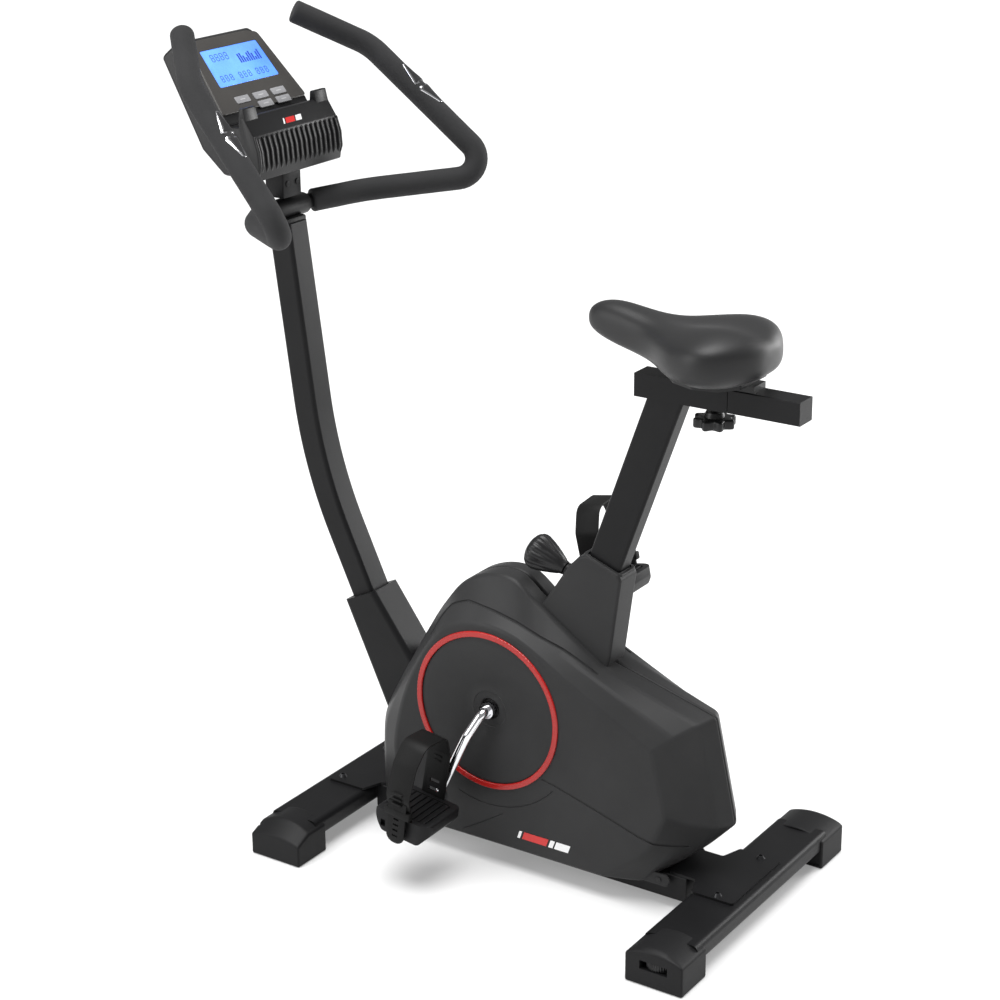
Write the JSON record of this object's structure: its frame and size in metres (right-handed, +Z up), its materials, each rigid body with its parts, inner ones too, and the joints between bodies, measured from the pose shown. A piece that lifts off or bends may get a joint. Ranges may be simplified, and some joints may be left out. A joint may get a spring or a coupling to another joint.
{
  "type": "upright exercise bike",
  "caption": "Upright magnetic exercise bike with moulded casing, curved mast, multi-grip handlebar, console with tablet ledge and height-adjustable saddle.",
  "frame": {"origin": "on the floor, under the middle of the outer box", "axes": "+X towards the handlebar, +Y to the rider's left, +Z up"},
  "size_m": [1.0839, 0.5878, 1.3228],
  "materials": {
    "frame_paint": "satin black powder coat",
    "casing_plastic": "matt moulded plastic",
    "black_plastic": "matt moulded plastic",
    "cap_plastic": "matt moulded plastic",
    "red_plastic": "gloss red",
    "pedal_plastic": "textured",
    "strap_rubber": "matt, moulded",
    "foam": "closed-cell foam",
    "saddle_cover": "smooth synthetic leather",
    "chrome": "polished",
    "steel": "machined",
    "dark_steel": "black oxide",
    "cast_iron": "cast and turned rim",
    "belt_rubber": "ribbed",
    "face_plastic": "satin",
    "button_plastic": "satin",
    "screen": "backlit display",
    "sensor_metal": "brushed chrome",
    "wheel_rubber": "matt"
  },
  "bodies": {
    "frame": {"base_rail": "frame_paint", "foot_plates": "frame_paint", "front_stabilizer": "frame_paint", "rear_stabilizer": "frame_paint", "front_caps": "cap_plastic", "rear_caps": "cap_plastic", "mast_socket": "frame_paint", "mast": "frame_paint", "seat_tube": "frame_paint", "seat_tube_cover": "casing_plastic", "post_collar": "black_plastic", "crank_housing": "frame_paint", "crank_bearings": "steel", "drive_brackets": "frame_paint", "flywheel_axle": "steel", "drive_belt": "belt_rubber", "resistance_motor": "black_plastic", "casing_left": "casing_plastic", "casing_right": "casing_plastic", "side_discs": "casing_plastic", "accent_rings": "red_plastic", "casing_screws": "dark_steel", "frame_bolts": "dark_steel", "dc_inlet": "black_plastic", "handlebar_clamp": "frame_paint", "console_bracket": "frame_paint", "console_housing": "black_plastic", "console_face": "face_plastic", "lcd_screen": "screen", "tablet_ledge": "black_plastic"},
    "crank": {"crank_axle": "steel", "drive_pulley": "black_plastic", "crank_arm_left": "chrome", "crank_arm_right": "chrome", "pedal_spindles": "steel"},
    "flywheel": {"flywheel": "cast_iron"},
    "idler": {"idler_pulley": "steel"},
    "magnet_arm": {"magnet_arm": "dark_steel"},
    "pedal_left": {"pedal_left": "pedal_plastic", "pedal_left_strap": "strap_rubber"},
    "pedal_right": {"pedal_right": "pedal_plastic", "pedal_right_strap": "strap_rubber"},
    "seat_post": {"seat_post": "frame_paint"},
    "seat_slider": {"seat_slider": "frame_paint", "saddle_pan": "black_plastic", "saddle": "saddle_cover"},
    "slider_knob": {"slider_knob": "black_plastic"},
    "pin_knob": {"pin_knob": "black_plastic"},
    "handlebar": {"handlebar_tube": "frame_paint", "foam_grips": "foam", "pulse_sensors": "sensor_metal"},
    "button_display": {"button_display": "button_plastic"},
    "button_mode": {"button_mode": "button_plastic"},
    "button_set": {"button_set": "button_plastic"},
    "button_reset": {"button_reset": "button_plastic"},
    "button_start": {"button_start": "button_plastic"},
    "transport_wheel_left": {"transport_wheel_left": "wheel_rubber"},
    "transport_wheel_right": {"transport_wheel_right": "wheel_rubber"},
    "leveller_left": {"leveller_left": "black_plastic"},
    "leveller_right": {"leveller_right": "black_plastic"}
  },
  "joints": [
    {"name": "crank_spin", "type": "hinge", "parent": "frame", "child": "crank", "pos_m": [-0.0425, 0, 0.273], "axis": [0, 1, 0], "continuous": true},
    {"name": "pedal_left_spin", "type": "hinge", "parent": "crank", "child": "pedal_left", "pos_m": [0.02827, 0.18, 0.11843], "axis": [0, 1, 0], "continuous": true},
    {"name": "pedal_right_spin", "type": "hinge", "parent": "crank", "child": "pedal_right", "pos_m": [-0.11327, -0.18, 0.42757], "axis": [0, 1, 0], "continuous": true},
    {"name": "flywheel_spin", "type": "hinge", "parent": "frame", "child": "flywheel", "pos_m": [-0.2625, 0, 0.21], "axis": [0, 1, 0], "continuous": true},
    {"name": "idler_spin", "type": "hinge", "parent": "frame", "child": "idler", "pos_m": [-0.17051, 0.051, 0.16629], "axis": [0, 1, 0], "continuous": true},
    {"name": "magnet_arm_tilt", "type": "hinge", "parent": "frame", "child": "magnet_arm", "pos_m": [-0.1805, 0, 0.305], "axis": [0, 1, 0], "range_deg": [0, 5]},
    {"name": "seat_height", "type": "slide", "parent": "frame", "child": "seat_post", "axis": [-0.3404, 0, 0.9403], "range_m": [-0.12, 0.05]},
    {"name": "pin_pull", "type": "slide", "parent": "frame", "child": "pin_knob", "axis": [0.9403, 0, 0.3404], "range_m": [0, 0.008], "stiffness_N_per_m": 1500, "springref_m": -0.003},
    {"name": "seat_fore_aft", "type": "slide", "parent": "seat_post", "child": "seat_slider", "axis": [-1, 0, 0], "range_m": [0, 0.07]},
    {"name": "slider_knob_turn", "type": "hinge", "parent": "seat_post", "child": "slider_knob", "pos_m": [-0.395, 0, 0.8], "axis": [0, 0, 1], "range_deg": [0, 360]},
    {"name": "handlebar_tilt", "type": "hinge", "parent": "frame", "child": "handlebar", "pos_m": [0.3945, 0, 1.016], "axis": [0, 1, 0], "range_deg": [-20, 20]},
    {"name": "button_display_press", "type": "slide", "parent": "frame", "child": "button_display", "axis": [0.766, 0, -0.6428], "range_m": [0, 0.0008], "stiffness_N_per_m": 500, "springref_m": -0.0004},
    {"name": "button_mode_press", "type": "slide", "parent": "frame", "child": "button_mode", "axis": [0.766, 0, -0.6428], "range_m": [0, 0.0008], "stiffness_N_per_m": 500, "springref_m": -0.0004},
    {"name": "button_set_press", "type": "slide", "parent": "frame", "child": "button_set", "axis": [0.766, 0, -0.6428], "range_m": [0, 0.0008], "stiffness_N_per_m": 500, "springref_m": -0.0004},
    {"name": "button_reset_press", "type": "slide", "parent": "frame", "child": "button_reset", "axis": [0.766, 0, -0.6428], "range_m": [0, 0.0008], "stiffness_N_per_m": 500, "springref_m": -0.0004},
    {"name": "button_start_press", "type": "slide", "parent": "frame", "child": "button_start", "axis": [0.766, 0, -0.6428], "range_m": [0, 0.0008], "stiffness_N_per_m": 500, "springref_m": -0.0004},
    {"name": "transport_wheel_left_spin", "type": "hinge", "parent": "frame", "child": "transport_wheel_left", "pos_m": [0.283, 0.2385, 0.0225], "axis": [0, 1, 0], "continuous": true},
    {"name": "transport_wheel_right_spin", "type": "hinge", "parent": "frame", "child": "transport_wheel_right", "pos_m": [0.283, -0.2385, 0.0225], "axis": [0, 1, 0], "continuous": true},
    {"name": "leveller_left_turn", "type": "hinge", "parent": "frame", "child": "leveller_left", "pos_m": [-0.4585, 0.241, 0.02], "axis": [0, 0, 1], "range_deg": [0, 720]},
    {"name": "leveller_right_turn", "type": "hinge", "parent": "frame", "child": "leveller_right", "pos_m": [-0.4585, -0.241, 0.02], "axis": [0, 0, 1], "range_deg": [0, 720]}
  ],
  "couplings": [
    {"joint": "flywheel_spin", "follows": "crank_spin", "ratio": 6.25},
    {"joint": "idler_spin", "follows": "crank_spin", "ratio": -6.6667}
  ]
}
